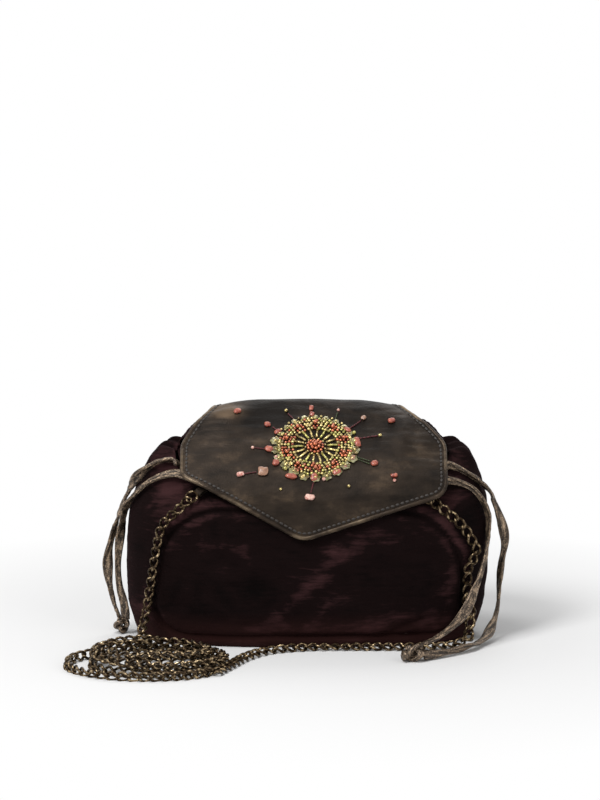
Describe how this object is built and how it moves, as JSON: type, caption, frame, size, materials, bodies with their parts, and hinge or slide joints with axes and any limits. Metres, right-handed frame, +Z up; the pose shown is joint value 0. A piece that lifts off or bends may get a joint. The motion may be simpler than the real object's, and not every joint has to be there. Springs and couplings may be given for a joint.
{
  "type": "potli bag",
  "caption": "Gathered velvet pouch with a leather front flap, a beaded sunburst, ribbon drawstrings and a curb-link chain strap.",
  "frame": {"origin": "middle of the pouch's flat base, on the surface that it stands on", "axes": "+Z up, -Y out of the front, where the flap and the sunburst are, +X to the right of someone who looks at the front"},
  "size_m": [0.2706, 0.1731, 0.1422],
  "materials": {
    "velvet": "crushed velvet, dark wine brown",
    "velvet_trim": "gathered velvet casing, wine brown",
    "satin_lining": "plain satin, dark brown",
    "leather": "fine-grained leather with a bronze sheen",
    "ribbon": "metallic tissue ribbon, bronze brown",
    "antique_brass": "antique brass, darkened in the recesses",
    "copper_bead": "copper orange glass-like beads",
    "gold_bead": "gold lined beads",
    "olive_stone": "olive gold sequins and stones",
    "coral_chip": "coral and pink stone chips"
  },
  "bodies": {
    "bag": {"velvet_gusset": "velvet", "velvet_front_panel": "velvet", "velvet_back_panel": "velvet", "satin_lining_bag": "satin_lining", "casing_front_half": "velvet_trim", "casing_back_half": "velvet_trim", "drawstring_left_hidden_run": "ribbon", "drawstring_right_hidden_run": "ribbon", "drawstring_left_inner_end": "ribbon", "drawstring_left_outer_end": "ribbon", "drawstring_right_inner_end": "ribbon", "drawstring_right_outer_end": "ribbon", "left_knot": "ribbon", "right_knot": "ribbon", "flap_anchor_strip": "leather", "chain_left_fall": "antique_brass", "chain_right_fall": "antique_brass", "chain_heap": "antique_brass", "chain_front_run": "antique_brass", "chain_tab_left": "leather", "chain_tab_right": "leather"},
    "flap": {"flap_leather": "leather", "flap_lining": "satin_lining", "flap_piped_edge": "leather", "sunburst_centre": "copper_bead", "sunburst_rays": "gold_bead", "sunburst_inner_seed_ring": "gold_bead", "sunburst_outer_seed_ring": "copper_bead", "sunburst_stone_ring": "olive_stone", "chip_top_left": "coral_chip", "chip_top": "coral_chip", "chip_top_right": "coral_chip", "chip_right": "coral_chip", "chip_low_right": "coral_chip", "stone_low_left": "olive_stone", "chip_low_left": "coral_chip", "chip_left": "coral_chip", "chip_below": "copper_bead", "chip_low": "coral_chip", "chip_tip": "coral_chip", "bead_right": "copper_bead"}
  },
  "joints": [
    {"name": "flap_hinge", "type": "hinge", "parent": "bag", "child": "flap", "pos_m": [0, 0.03108, 0.13838], "axis": [-1, 0, 0], "range_deg": [0, 180]}
  ]
}
